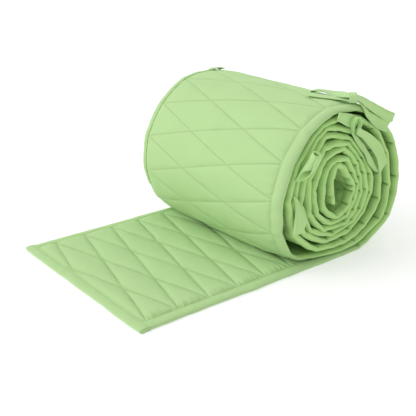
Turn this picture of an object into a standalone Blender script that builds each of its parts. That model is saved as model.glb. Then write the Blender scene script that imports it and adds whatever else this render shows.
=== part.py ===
"""A quilted crib bumper: a long padded strip, partly unrolled, with fabric ties.

The strip lies flat at its free end and is wound up at the other, eight layers deep.
X runs along the flat run towards the roll, Y along the roll's axis, Z is up.
The origin is on the surface the strip rests on, in the middle of its length and width.
Run it with: blender --background --python part.py
"""

import math

import bmesh
import bpy
from mathutils import Vector

# Driving dimensions, in metres
STRIP_WIDTH = 0.300
BINDING_WIDTH = 0.014
SEAM_GAP = 0.0003
REACH_X = 0.2302  # from the free end to the origin
PITCH = 0.0475  # from one quilted diamond to the next, along the strip
STEPS = 4  # stations in one pitch
FIRST_NODE = 0.018  # from the free end to the first crossing of the quilting lines
QUILT_ROWS = (0.101, 0.193)  # crossings of the quilting lines, from the near edge
FLAP_ANGLE = 316.0  # where the inner end hangs, in degrees round the last turn

# Half thicknesses, each side of the middle surface
REST_HALF = 0.0028  # underside of the flat run, pressed level
THIN = 0.0014  # at a line of stitching
CROWN_FLAT = 0.0043  # a diamond's middle on the open flat run
CROWN_WOUND = 0.0024  # and between two turns of the roll
CROWN_OUTER = 0.0042  # and on the outside of the roll
BINDING_INNER = 0.0021
BINDING_OUTER = 0.0016

# The roll's middle surface, as its distance in mm from the roll's centre.
# Each row is one turn, outermost first, and each column one direction.
CENTRE_X = 0.341
CENTRE_Z = 0.105
DIRECTIONS = {
    "bottom": 0, "low_right": 30, "lower_right": 60, "right": 90, "top_right": 135,
    "top": 180, "crest": 205, "top_left": 235, "left": 270, "low_left": 315,
}
TURNS = (
    (102.2, 116.0, 123.0, 115.0, 109.0, 109.0, 113.6, 113.8, 118.5, 119.5),
    (96.4, 102.2, 109.5, 96.0, 92.5, 99.5, 107.0, 105.3, 106.5, 99.5),
    (85.5, 86.0, 87.0, 76.5, 72.0, 82.0, 100.3, 97.0, 97.3, 87.5),
    (72.5, 66.8, 63.5, 58.5, 50.0, 71.0, 88.7, 87.0, 85.0, 78.5),
    (64.5, 59.0, 54.0, 46.0, 43.0, 63.0, 75.2, 75.0, 72.5, 68.5),
    (57.5, 48.5, 40.0, 35.3, 36.0, 54.5, 63.5, 63.5, 60.5, 57.5),
    (50.0, 39.0, 31.5, 28.0, 26.5, 41.5, 49.5, 48.8, 42.0, 46.5),
    (41.0, 28.5, 22.5, 20.0, 16.0, 23.5, 42.5, 31.5, 24.0, 29.8),
)

# The outer turn lies low on the flat run where it tucks under the roll. Each row is a
# direction and the outer turn's distance there.
TUCK_LOW = ((323.0, 118.0), (331.0, 110.2), (339.0, 103.2))

# The outer turn bulges away from the near edge, which the ties draw in. Each row is a
# direction, the most that the cloth stands out there, in mm, and the share that it loses
# where the far edge curls in.
BULGE = (
    (100.0, 0.0, 1.0), (130.0, 3.2, 1.0), (162.0, 6.0, 1.0), (185.0, 7.4, 0.92),
    (205.0, 9.8, 0.5), (232.0, 14.2, 0.35), (255.0, 16.0, 0.35), (275.0, 16.0, 0.35),
    (297.0, 14.0, 0.35), (315.0, 9.5, 0.35), (323.0, 2.5, 0.35), (331.0, 0.0, 0.35),
)
BULGE_START = 0.04  # how soon the bulge grows, from the near edge

# Its near edge stands back there
TUCK_SETBACK = 0.012
TUCK_ANGLE = 318.0
TUCK_SPREAD = 32.0

# How strongly the cloth breaks at its quilting lines instead of bending evenly
FACET_EDGE = 0.7
FACET_BODY = 0.45
FACET_CAP = 0.0010

# The ties are flat cotton ribbons. Each row gives one edge and the other, as x, y and z
# in mm from the strip's near corner at the free end, and how far the middle bows out.
TIE_THICKNESS = 0.0014
TIE_STEPS = 3  # smoothed steps between two rows
TOP_TIE = (
    # one free end, over the end face
    (415.0, -11.0, 187.5, 429.7, -3.0, 195.4, 0.0),
    (405.5, -8.5, 190.5, 416.5, -0.5, 201.5, 0.5),
    (392.0, -6.5, 198.0, 403.6, 3.0, 208.4, 0.5),
    (375.5, -4.2, 208.0, 389.3, 6.0, 216.4, 0.5),
    (361.0, -1.2, 219.0, 374.0, 10.5, 224.3, 0.5),
    # through the knot
    (353.1, 0.8, 227.6, 362.7, 10.4, 228.6, 0.0),
    (349.2, 4.7, 228.6, 358.8, 14.3, 229.2, 0.0),
    (345.3, 8.6, 228.6, 354.9, 18.2, 229.4, 0.0),
    # the loop, along the top of the roll and back under itself
    (346.0, 20.0, 226.6, 361.0, 26.0, 229.3, 0.0),
    (349.0, 34.0, 225.7, 367.0, 38.0, 227.2, 0.5),
    (350.0, 46.0, 225.4, 367.0, 50.0, 225.6, 0.5),
    (347.5, 56.0, 226.4, 363.5, 60.5, 225.2, 0.0),
    (340.0, 63.0, 227.8, 356.0, 67.0, 226.5, 0.0),
    (336.4, 69.0, 227.6, 353.4, 73.5, 226.4, 0.0),
    (335.3, 70.2, 226.2, 352.3, 74.8, 225.1, 0.0),
    (334.0, 69.0, 224.8, 350.6, 73.2, 223.8, 0.0),
    (327.0, 65.5, 225.1, 344.0, 67.5, 224.4, 0.0),
    (320.5, 58.0, 225.2, 337.5, 60.5, 224.9, 0.0),
    (327.0, 42.0, 224.4, 343.0, 48.0, 223.9, 0.0),
    (336.0, 29.0, 223.3, 351.0, 35.0, 222.8, 0.0),
    # through the knot again
    (345.3, 8.6, 223.6, 354.9, 18.2, 223.4, 0.0),
    (349.2, 4.7, 223.8, 358.8, 14.3, 223.4, 0.0),
    (353.1, 0.8, 223.0, 362.7, 10.4, 222.6, 0.0),
    # the other free end, creased, below the first
    (360.5, -3.0, 214.0, 365.0, 1.0, 215.5, 0.0),
    (369.0, -3.0, 201.0, 375.0, -1.9, 206.5, 0.0),
    (390.0, -3.4, 182.0, 395.5, -2.4, 196.0, -1.0),
    (410.5, -5.5, 172.5, 418.0, -5.5, 186.0, -1.5),
)
INNER_TIE = (
    # one free end, in front of the inner turns
    (406.4, -4.4, 110.7, 419.2, -5.0, 125.8, 1.0),
    (398.0, -4.8, 133.0, 413.5, -5.5, 139.0, 2.0),
    (388.0, -5.2, 147.0, 402.5, -6.0, 155.5, 2.5),
    (374.0, -5.6, 160.5, 387.0, -6.6, 168.5, 2.0),
    (361.0, -6.4, 172.5, 371.4, -7.4, 178.5, 1.0),
    (347.5, -6.6, 180.5, 355.0, -8.4, 187.0, 0.0),
    # the small ring of its knot
    (349.5, -5.6, 191.0, 350.5, -12.0, 193.0, 0.0),
    (349.0, -5.4, 198.5, 349.0, -13.0, 199.5, 0.0),
    (343.0, -5.4, 204.0, 342.5, -13.2, 205.0, 0.0),
    (336.2, -5.4, 199.5, 335.2, -13.0, 200.0, 0.0),
    (336.0, -5.4, 192.5, 335.2, -12.0, 192.0, 0.0),
    (338.5, -5.2, 187.2, 337.5, -10.5, 187.0, 0.0),
    # the other free end, behind the first
    (342.5, -2.8, 183.0, 338.8, -6.4, 183.2, 0.0),
    (355.0, -1.9, 174.5, 348.9, -4.2, 170.6, 0.5),
    (371.5, -1.3, 159.5, 361.5, -3.6, 157.0, 1.0),
    (386.0, -1.3, 142.5, 372.5, -3.2, 145.5, 1.0),
    (397.5, -1.3, 126.5, 381.5, -2.6, 132.0, 0.5),
    (407.0, -1.3, 113.0, 397.0, -2.0, 117.0, 0.0),
)
INNER_LOOP = (
    # a flattened loop that passes behind the ring, lower edge first
    (342.0, -3.4, 189.5, 350.0, -3.4, 203.5, 0.0),
    (331.3, -4.4, 193.2, 338.5, -4.4, 208.8, 0.5),
    (321.0, -5.0, 198.6, 327.0, -5.0, 211.8, 0.5),
    (314.5, -4.7, 202.3, 318.3, -4.7, 213.4, 0.0),
    (311.6, -3.1, 203.6, 315.4, -3.1, 214.2, 0.0),
    (314.5, -1.5, 202.3, 318.3, -1.5, 213.4, 0.0),
    (331.0, -1.2, 194.8, 338.0, -1.2, 207.8, 0.0),
    (350.0, -1.2, 188.0, 357.0, -1.2, 200.5, 0.0),
)
LOW_TIE = (
    # a short end that hangs from between the turns, left edge first
    (239.5, -1.3, 115.5, 244.0, -1.3, 113.5, 0.0),
    (241.5, -2.2, 105.5, 249.0, -3.4, 105.5, -0.6),
    (242.3, -3.2, 95.4, 253.5, -5.4, 96.0, 1.8),
    (240.5, -4.4, 85.0, 258.5, -6.6, 86.5, 2.6),
    (238.8, -5.4, 75.9, 260.0, -7.4, 78.0, 3.0),
    (237.6, -6.0, 64.4, 253.1, -7.6, 63.6, 3.0),
)
FAR_TIE = (
    # the top of a loop that is sewn in at the far edge, near side first
    (332.0, 278.0, 226.3, 332.0, 292.0, 222.2, 0.0),
    (340.0, 279.0, 228.4, 340.0, 294.0, 225.6, 0.0),
    (348.0, 279.0, 227.8, 348.0, 293.0, 225.2, 0.0),
    (355.0, 278.0, 225.0, 355.0, 291.0, 221.2, 0.0),
)
KNOT_CENTRE = (0.354, 0.0095, 0.2262)
KNOT_HALF = (0.0098, 0.0066)  # across the strands that pass through it, and up
KNOT_WIDTH = 0.008
KNOT_TURN = 45.0  # degrees, from the roll's axis
# The left tie is curled lengthwise: x, y and z of its axis in mm, its radius, the width
# of the slit that it leaves open in degrees, and the direction that the slit faces.
LEFT_TIE = (
    (242.0, -2.7, 135.5, 2.4, 230.0, 70.0),
    (248.5, -6.2, 142.5, 5.0, 190.0, 60.0),
    (255.5, -8.0, 150.5, 5.8, 90.0, 50.0),
    (262.3, -10.2, 160.2, 5.9, 24.0, 40.0),
    (264.0, -15.5, 170.5, 5.7, 16.0, 40.0),
)
CURL_POINTS = 9

GREEN = (0.47, 0.70, 0.30, 1.0)
GREEN_BAND = (0.50, 0.73, 0.33, 1.0)
GREEN_TIE = (0.52, 0.74, 0.35, 1.0)


def clear_scene():
    """Remove every object that is already in the file."""
    for thing in list(bpy.data.objects):
        bpy.data.objects.remove(thing, do_unlink=True)


def make_material(name, colour, roughness):
    """Return a plain cloth material."""
    material = bpy.data.materials.new(name)
    material.use_nodes = True
    shader = material.node_tree.nodes["Principled BSDF"]
    shader.inputs["Base Color"].default_value = colour
    shader.inputs["Roughness"].default_value = roughness
    shader.inputs["Metallic"].default_value = 0.0
    return material


def hermite(angles, radii, angle):
    """Read a smooth curve through (angle, radius) rows, flat where it starts."""
    k = 0
    while k < len(angles) - 2 and angle > angles[k + 1]:
        k += 1

    def slope(i):
        if i == 0:
            return 0.0
        if i == len(angles) - 1:
            return (radii[i] - radii[i - 1]) / (angles[i] - angles[i - 1])
        return (radii[i + 1] - radii[i - 1]) / (angles[i + 1] - angles[i - 1])

    span = angles[k + 1] - angles[k]
    t = (angle - angles[k]) / span
    a = (2 * t**3 - 3 * t**2 + 1) * radii[k]
    b = (t**3 - 2 * t**2 + t) * span * slope(k)
    c = (-2 * t**3 + 3 * t**2) * radii[k + 1]
    d = (t**3 - t**2) * span * slope(k + 1)
    return a + b + c + d


def middle_line():
    """Return fine (x, z, angle) points of the strip's middle surface, free end first."""
    angles = []
    radii = []
    for turn, row in enumerate(TURNS):
        for offset, radius in zip(DIRECTIONS.values(), row):
            angles.append(360.0 * turn + offset)
            radii.append(radius / 1000)
    for k, (direction, radius) in enumerate(TUCK_LOW):
        angles.insert(len(DIRECTIONS) + k, direction)
        radii.insert(len(DIRECTIONS) + k, radius / 1000)
    points = []
    for k in range(int(CENTRE_X * 1000)):
        points.append((k / 1000, REST_HALF, 0.0))
    last = 360.0 * (len(TURNS) - 1) + FLAP_ANGLE
    for k in range(int(last) + 1):
        radius = hermite(angles, radii, float(k))
        turn = math.radians(k)
        z = CENTRE_Z - radius * math.cos(turn)
        points.append((CENTRE_X + radius * math.sin(turn), max(z, REST_HALF), float(k)))
    return points


def stations():
    """Return the panel's (x, z, angle, distance) stations along the middle surface."""
    line = middle_line()
    run = [0.0]
    for a, b in zip(line, line[1:]):
        run.append(run[-1] + math.hypot(b[0] - a[0], b[1] - a[1]))
    step = PITCH / STEPS
    edge = BINDING_WIDTH + SEAM_GAP
    wanted = [edge]
    k = 1
    while FIRST_NODE + k * step < run[-1] - edge - step / 2:
        wanted.append(FIRST_NODE + k * step)
        k += 1
    wanted.append(run[-1] - edge)

    def read(distance):
        i = 0
        while i < len(run) - 2 and run[i + 1] < distance:
            i += 1
        t = (distance - run[i]) / (run[i + 1] - run[i])
        a = line[i]
        b = line[i + 1]
        return tuple(a[n] + t * (b[n] - a[n]) for n in range(3)) + (distance,)

    return [read(d) for d in wanted]


def facet(line, phase, strength):
    """Pull the stations between two quilting lines towards the straight chord.

    The cloth then breaks at the lines, every PITCH from the station numbered phase.
    """
    moved = []
    for i, point in enumerate(line):
        a = i - (i - phase) % STEPS
        b = a + STEPS
        if a < 1 or b > len(line) - 2 or point[2] < 15.0:
            moved.append(Vector((point[0], point[1])))
            continue
        t = (i - a) / STEPS
        start = Vector(line[a][:2])
        end = Vector(line[b][:2])
        here = Vector(point[:2])
        pull = (start.lerp(end, t) - here) * strength
        if pull.length > FACET_CAP:
            pull *= FACET_CAP / pull.length
        moved.append(here + pull)
    return moved


def side_normals(line):
    """Return the unit vector at each station that points to the roll's inside."""
    normals = []
    for i in range(len(line)):
        a = line[max(i - 1, 0)]
        b = line[min(i + 1, len(line) - 1)]
        along = (b - a).normalized()
        normals.append(Vector((-along.y, along.x)))
    return normals


def setback(angle, across):
    """Return how far the strip stands back along Y where the outer turn tucks under."""
    away = (angle - TUCK_ANGLE) / TUCK_SPREAD
    return TUCK_SETBACK * math.exp(-away * away) * (1 - 0.8 * across / STRIP_WIDTH)


def crown(angle, distance, outside):
    """Return a diamond's half thickness on one side, for a station of the strip."""
    under_roll = 0.24
    if distance < CENTRE_X and not outside:
        press = min(max((distance - under_roll) / 0.03, 0.0), 1.0)
        return CROWN_FLAT + press * (CROWN_WOUND - CROWN_FLAT)
    if outside and angle < 300.0:
        rise = min(max((angle - 30.0) / 30.0, 0.0), 1.0)
        return CROWN_WOUND + rise * (CROWN_OUTER - CROWN_WOUND)
    return CROWN_WOUND


def row_places():
    """Return the panel's rows across the strip: quilting rows with one row between each."""
    low = BINDING_WIDTH + SEAM_GAP
    rows = (low,) + QUILT_ROWS + (STRIP_WIDTH - low,)
    places = []
    for a, b in zip(rows, rows[1:]):
        places += [a, (a + b) / 2]
    return places + [rows[-1]]


def on_stitching(i, j):
    """Say whether station i of row j lies on a quilting line."""
    if j % 2:
        return i % 2 == 1
    return i % STEPS == (j % 4) % STEPS


def fullness(i, j, rows):
    """Return how much of the crown's height a panel point has, from 0 to 1."""
    if on_stitching(i, j) or j in (0, rows - 1):
        return 0.0
    if j % 2 == 0 and i % 2:
        return 0.85
    return 1.0 if j % 2 == 0 else 0.85


def bulge(angle, across):
    """Return how far the outer turn stands out at a place on the strip."""
    if not BULGE[0][0] < angle < BULGE[-1][0]:
        return 0.0
    angles = [row[0] for row in BULGE]
    most = hermite(angles, [row[1] for row in BULGE], angle) / 1000
    loss = hermite(angles, [row[2] for row in BULGE], angle)
    share = 0.85 * (1 - math.exp(-across / BULGE_START)) + 0.15 * across / STRIP_WIDTH
    curl = max(across - STRIP_WIDTH + 0.02, 0.0) / 0.02
    return most * (share - loss * curl * curl)


def place(x, z, across, angle):
    """Turn strip coordinates into the object's frame."""
    y = across - STRIP_WIDTH / 2 + setback(angle, across)
    out = bulge(angle, across)
    turn = math.radians(angle)
    return Vector((x - REACH_X + out * math.sin(turn), y, z - out * math.cos(turn)))


def smoothed(rows, steps):
    """Return rows of numbers with more between them, along a smooth curve."""
    path = []
    last = len(rows) - 1
    for i in range(last):
        a = rows[max(i - 1, 0)]
        b = rows[i]
        c = rows[i + 1]
        d = rows[min(i + 2, last)]
        for k in range(steps):
            t = k / steps
            row = []
            for p, q, r, s in zip(a, b, c, d):
                bend = 2 * p - 5 * q + 4 * r - s
                turn = 3 * q - p - 3 * r + s
                row.append(q + 0.5 * t * (r - p + t * (bend + t * turn)))
            path.append(row)
    path.append(list(rows[last]))
    return path


def in_frame(x, y, z):
    """Turn millimetres from the strip's near corner into the object's frame."""
    return Vector((x / 1000 - REACH_X, y / 1000 - STRIP_WIDTH / 2, z / 1000))


def sweep(name, rings, material, splits=None):
    """Make one closed solid from equal rings of points, each bridged to the next."""
    mesh = bpy.data.meshes.new(name)
    form = bmesh.new()
    count = len(rings[0])
    loops = [[form.verts.new(p) for p in ring] for ring in rings]
    for i, (near, far) in enumerate(zip(loops, loops[1:])):
        for k in range(count):
            n = (k + 1) % count
            quad = (near[k], near[n], far[n], far[k])
            lean = splits(i, k) if splits else False
            if lean:
                form.faces.new((quad[0], quad[1], quad[3]))
                form.faces.new((quad[1], quad[2], quad[3]))
            else:
                form.faces.new((quad[0], quad[1], quad[2]))
                form.faces.new((quad[0], quad[2], quad[3]))
    half = count // 2
    for loop in (loops[0], loops[-1]):
        for k in range(half - 1):
            form.faces.new((loop[k], loop[k + 1], loop[count - 2 - k], loop[count - 1 - k]))
    bmesh.ops.recalc_face_normals(form, faces=form.faces)
    form.to_mesh(mesh)
    form.free()
    mesh.materials.append(material)
    thing = bpy.data.objects.new(name, mesh)
    bpy.context.collection.objects.link(thing)
    mesh.shade_smooth()
    mesh.set_sharp_from_angle(angle=math.radians(40))
    return thing


def row_line(line, j):
    """Return the faceted middle line of panel row j, and its inward normals."""
    phase = (0, None, 2, None)[j % 4]
    if phase is None:
        moved = [Vector(p[:2]) for p in line]
    else:
        strength = FACET_EDGE if j in (0, 6) else FACET_BODY
        moved = facet(line, phase, strength)
    return moved, side_normals(moved)


def quilted_panel(line, material):
    """Make the quilted panel, raised between its quilting lines on both faces."""
    places = row_places()
    rows = len(places)
    lines = [row_line(line, j) for j in range(rows)]
    rings = []
    for i, (_, _, angle, distance) in enumerate(line):
        outer = []
        inner = []
        for j, across in enumerate(places):
            middle = lines[j][0][i]
            normal = lines[j][1][i]
            full = fullness(i, j, rows)
            high = THIN + full * (crown(angle, distance, False) - THIN)
            low = THIN + full * (crown(angle, distance, True) - THIN)
            if angle < 12.0:
                low = REST_HALF
            top = middle + normal * high
            base = middle - normal * low
            inner.append(place(top.x, top.y, across, angle))
            outer.append(place(base.x, base.y, across, angle))
        rings.append(outer + inner[::-1])

    def lean(i, k):
        # the ring runs up the rows on the outside and back down them on the inside
        if k < rows - 1:
            return on_stitching(i, k + 1) and on_stitching(i + 1, k)
        if rows <= k < 2 * rows - 1:
            j = 2 * rows - 1 - k
            return on_stitching(i, j - 1) and on_stitching(i + 1, j)
        return False

    return sweep("quilted_panel", rings, material, lean)


def edge_binding(name, line, far, material):
    """Make the folded band that finishes one long edge of the strip."""
    moved, normals = row_line(line, 6 if far else 0)
    rings = []
    for (_, _, angle, _), middle, normal in zip(line, moved, normals):
        ring = []
        corners = ((0.0, BINDING_OUTER, -1), (BINDING_WIDTH, BINDING_INNER, -1),
                   (BINDING_WIDTH, BINDING_INNER, 1), (0.0, BINDING_OUTER, 1))
        for across, half, side in corners:
            if side < 0 and angle < 12.0:
                half = REST_HALF
            spot = middle + normal * half * side
            v = STRIP_WIDTH - across if far else across
            ring.append(place(spot.x, spot.y, v, angle))
        rings.append(ring)
    return sweep(name, rings, material)


def end_binding(name, line, free, material):
    """Make the band across one short end, going straight on from the panel's end."""
    seam, before = (line[0], line[1]) if free else (line[-1], line[-2])
    seam_spot = Vector(seam[:2])
    along = (seam_spot - Vector(before[:2])).normalized()
    normal = Vector((along.y, -along.x)) if free else Vector((-along.y, along.x))
    near = seam_spot + along * SEAM_GAP
    tip = seam_spot + along * (SEAM_GAP + BINDING_WIDTH)
    corners = ((near, BINDING_INNER, -1), (tip, BINDING_OUTER, -1),
               (tip, BINDING_OUTER, 1), (near, BINDING_INNER, 1))
    rings = []
    for across in (0.0, STRIP_WIDTH):
        ring = []
        for spot, half, side in corners:
            depth = REST_HALF if free and side < 0 else half
            corner = spot + normal * depth * side
            ring.append(place(corner.x, corner.y, across, seam[2]))
        rings.append(ring)
    return sweep(name, rings, material)


def ribbon(name, rows, material):
    """Make a flat ribbon from its rows of one edge, the other edge and the bow."""
    path = smoothed(rows, TIE_STEPS)
    nears = [in_frame(*row[0:3]) for row in path]
    fars = [in_frame(*row[3:6]) for row in path]
    middles = [a.lerp(b, 0.5) for a, b in zip(nears, fars)]
    rings = []
    for i, row in enumerate(path):
        along = middles[min(i + 1, len(path) - 1)] - middles[max(i - 1, 0)]
        face = along.cross(fars[i] - nears[i]).normalized()
        half = face * (TIE_THICKNESS / 2)
        spots = (nears[i], middles[i] + face * (row[6] / 1000), fars[i])
        rings.append([s - half for s in spots] + [s + half for s in reversed(spots)])
    return sweep(name, rings, material)


def knot(name, material):
    """Make the turn of ribbon that holds the top tie's strands together."""
    along = Vector((-math.sin(math.radians(KNOT_TURN)), math.cos(math.radians(KNOT_TURN)), 0))
    across = Vector((along.y, -along.x, 0))
    centre = in_frame(*(1000 * c for c in KNOT_CENTRE))
    form = bmesh.new()
    count = 12
    loops = []
    for side, depth in ((-1, 0), (1, 0), (1, TIE_THICKNESS), (-1, TIE_THICKNESS)):
        loop = []
        for k in range(count):
            turn = 2 * math.pi * k / count
            wide = (KNOT_HALF[0] - depth) * math.copysign(abs(math.cos(turn)) ** 0.5, math.cos(turn))
            high = (KNOT_HALF[1] - depth) * math.copysign(abs(math.sin(turn)) ** 0.5, math.sin(turn))
            spot = centre + along * (side * KNOT_WIDTH / 2) + across * wide
            loop.append(form.verts.new(spot + Vector((0, 0, high))))
        loops.append(loop)
    for a, b in zip(loops, loops[1:] + loops[:1]):
        for k in range(count):
            n = (k + 1) % count
            form.faces.new((a[k], a[n], b[n], b[k]))
    bmesh.ops.recalc_face_normals(form, faces=form.faces)
    mesh = bpy.data.meshes.new(name)
    form.to_mesh(mesh)
    form.free()
    mesh.materials.append(material)
    thing = bpy.data.objects.new(name, mesh)
    bpy.context.collection.objects.link(thing)
    return thing


def curled_tie(name, rows, material):
    """Make a ribbon that is curled lengthwise, nearly to a tube at its open end."""
    path = smoothed(rows, TIE_STEPS)
    spots = [in_frame(*row[0:3]) for row in path]
    rings = []
    for i, row in enumerate(path):
        along = (spots[min(i + 1, len(path) - 1)] - spots[max(i - 1, 0)]).normalized()
        side = along.cross(Vector((0, 1, 0))).normalized()
        front = side.cross(along).normalized()
        outer = []
        inner = []
        for k in range(CURL_POINTS):
            share = k / (CURL_POINTS - 1)
            turn = math.radians(row[5] + row[4] / 2 + share * (360.0 - row[4]))
            way = side * math.cos(turn) - front * math.sin(turn)
            outer.append(spots[i] + way * (row[3] / 1000))
            inner.append(spots[i] + way * (row[3] / 1000 - TIE_THICKNESS))
        rings.append(outer + inner[::-1])
    return sweep(name, rings, material)


def main():
    """Build every piece."""
    clear_scene()
    cloth = make_material("quilted_cotton", GREEN, 0.9)
    band = make_material("binding_cotton", GREEN_BAND, 0.9)
    line = stations()
    quilted_panel(line, cloth)
    edge_binding("edge_binding_near", line, False, band)
    edge_binding("edge_binding_far", line, True, band)
    end_binding("end_binding_free", line, True, band)
    end_binding("end_binding_inner", line, False, band)
    tie = make_material("tie_cotton", GREEN_TIE, 0.9)
    ribbon("tie_top", TOP_TIE, tie)
    knot("tie_top_knot", tie)
    ribbon("tie_inner", INNER_TIE, tie)
    ribbon("tie_inner_loop", INNER_LOOP, tie)
    curled_tie("tie_left", LEFT_TIE, tie)
    ribbon("tie_low", LOW_TIE, tie)
    ribbon("tie_far", FAR_TIE, tie)


main()
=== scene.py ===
"""Looks of a quilted crib bumper that lies flat at one end and is wound up at the other.

The strip is modelled as its maker cuts it, flat, with its quilting raised, and is then
wound onto the roll's form. All sizes are in metres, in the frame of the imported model,
apart from tables that say that they are in mm.
"""

from __future__ import annotations

import logging
import math
from abc import ABC, abstractmethod
from dataclasses import dataclass, field
from enum import Enum
from typing import Callable

import bmesh
import bpy
import numpy as np
from bmesh.types import BMesh
from bpy.types import ID, Material, Node, NodeSocket, Object
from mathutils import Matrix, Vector

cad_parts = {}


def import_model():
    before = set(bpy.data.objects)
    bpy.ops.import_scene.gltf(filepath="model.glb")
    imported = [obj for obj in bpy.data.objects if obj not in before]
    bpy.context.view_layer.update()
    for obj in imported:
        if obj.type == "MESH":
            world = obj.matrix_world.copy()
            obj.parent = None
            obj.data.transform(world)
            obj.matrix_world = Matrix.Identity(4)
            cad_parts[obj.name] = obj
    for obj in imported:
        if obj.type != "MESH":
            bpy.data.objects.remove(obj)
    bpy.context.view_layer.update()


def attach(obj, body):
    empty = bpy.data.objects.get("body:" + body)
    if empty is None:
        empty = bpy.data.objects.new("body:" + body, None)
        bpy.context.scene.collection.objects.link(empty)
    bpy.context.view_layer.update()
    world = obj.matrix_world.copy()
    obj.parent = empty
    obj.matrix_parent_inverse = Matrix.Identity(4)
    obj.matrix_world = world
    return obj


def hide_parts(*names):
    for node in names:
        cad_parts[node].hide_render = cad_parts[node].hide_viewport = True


log = logging.getLogger("crib_bumper")

MM = 1000.0  # millimetres in a metre
TINY = 1e-9  # the least length that anything is divided by
NOISE_KNOTS = 4096
NOISE_SIDE = 256

# How the cloth is wound
OPEN_ROOM = 0.02  # taken as half the gap where no turn is next
CLEAR = 0.0003  # left between the cloth of two turns
THINNEST = 0.0018
KINK_CAP = 0.006
KINK_REACH = 0.05  # how far in from the near edge the kinks and dents go
KINK_BLEND = 8.0  # degrees
FACET_REACH = 0.03
SLOPE_STEP = 0.0016
SWAY = 0.0010  # how unevenly the near edge lies

Span = tuple[float, float]
Colour = tuple[float, float, float]
Array = np.ndarray
Pair = tuple[Array, Array]
Tones = dict[str, Array]
Placer = Callable[[Array], Array]
Toner = Callable[[Array], Tones]
Value = float | NodeSocket | tuple


class Edge(Enum):
    """The two long edges of the strip."""

    NEAR = "near"
    FAR = "far"


def smooth(share: Array) -> Array:
    """Return a share from 0 to 1 with a soft start and end."""
    return share * share * (3.0 - 2.0 * share)


def ease(values: Array, start: float, end: float) -> Array:
    """Return 0 before start, 1 after end and a smooth rise between them."""
    return smooth(np.clip((values - start) / (end - start), 0.0, 1.0))


def between(values: Array, rise: Span, fall: Span) -> Array:
    """Return 1 after a smooth rise and 0 again after a smooth fall."""
    return ease(values, *rise) * (1.0 - ease(values, *fall))


def fade(values: Array, reach: float | Array) -> Array:
    """Return 1 at zero, dying away over a reach."""
    return np.exp(-values / reach)


def bell(values: Array, wide: float) -> Array:
    """Return 1 at zero and a soft fall to 0 on both sides of it."""
    return np.exp(-((values / wide) ** 2))


def to_end(share: Array) -> Array:
    """Return how far a share from 0 to 1 is from the nearer of its ends."""
    return np.minimum(share, 1.0 - share)


def unit(rows: Array) -> Array:
    """Return rows of vectors, each with a length of 1."""
    return rows / np.maximum(np.linalg.norm(rows, axis=1, keepdims=True), TINY)


def noise_cells(values: Array, count: int) -> tuple[Array, Array, Array]:
    """Return the knots before and after each place, and the smooth share between them."""
    cell = np.floor(values)
    low = cell.astype(int) % count
    return low, (low + 1) % count, smooth(values - cell)


def soft_noise(values: Array, seed: int) -> Array:
    """Return smooth random waves from -1 to 1, about one for each whole number."""
    knots = np.random.default_rng(seed).uniform(-1.0, 1.0, NOISE_KNOTS)
    low, high, share = noise_cells(values, NOISE_KNOTS)
    return knots[low] * (1.0 - share) + knots[high] * share


def soft_noise_2d(u: Array, v: Array, seed: int) -> Array:
    """Return smooth random bumps from -1 to 1 over a surface, of size 1 each way."""
    knots = np.random.default_rng(seed).uniform(-1.0, 1.0, (NOISE_SIDE, NOISE_SIDE))
    iu, ju, su = noise_cells(u, NOISE_SIDE)
    iv, jv, sv = noise_cells(v, NOISE_SIDE)
    low = knots[iu, iv] * (1.0 - su) + knots[ju, iv] * su
    high = knots[iu, jv] * (1.0 - su) + knots[ju, jv] * su
    return low * (1.0 - sv) + high * sv


@dataclass(frozen=True)
class Quilting:
    """The two families of straight stitching lines that cross in long diamonds."""

    pitch: float = 0.0475
    first: float = 0.018
    near_row: float = 0.010
    row: float = 0.0913
    wander: float = 0.0012
    wander_rise: Span = (0.020, 0.045)
    wander_fall: Span = (0.255, 0.28)
    crisp_reach: float = 0.0022

    def shares(self, s: Array, v: Array) -> Pair:
        """Return how far each place is between two lines of each family, from 0 to 1."""
        inner = between(v, self.wander_rise, self.wander_fall)
        s = s + self.wander * inner * soft_noise_2d(s / 0.034, v / 0.022, 13)
        lean = (v - self.near_row) * self.pitch / (2.0 * self.row)
        one = (s - self.first - lean) / self.pitch
        two = (s - self.first + lean) / self.pitch
        return one - np.floor(one), two - np.floor(two)

    def nearest(self, s: Array, v: Array) -> Array:
        """Return the distance along the strip to the nearest stitching line."""
        one, two = self.shares(s, v)
        return self.pitch * np.minimum(to_end(one), to_end(two))

    def fullness(self, s: Array, v: Array) -> Array:
        """Return how far the padding fills each place, from 0 at a line to 1."""
        one, two = self.shares(s, v)
        pillow = np.sqrt(np.clip(16.0 * one * (1.0 - one) * two * (1.0 - two), 0.0, 1.0))
        return 0.30 * (1.0 - fade(self.nearest(s, v), self.crisp_reach)) + 0.70 * pillow


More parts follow.
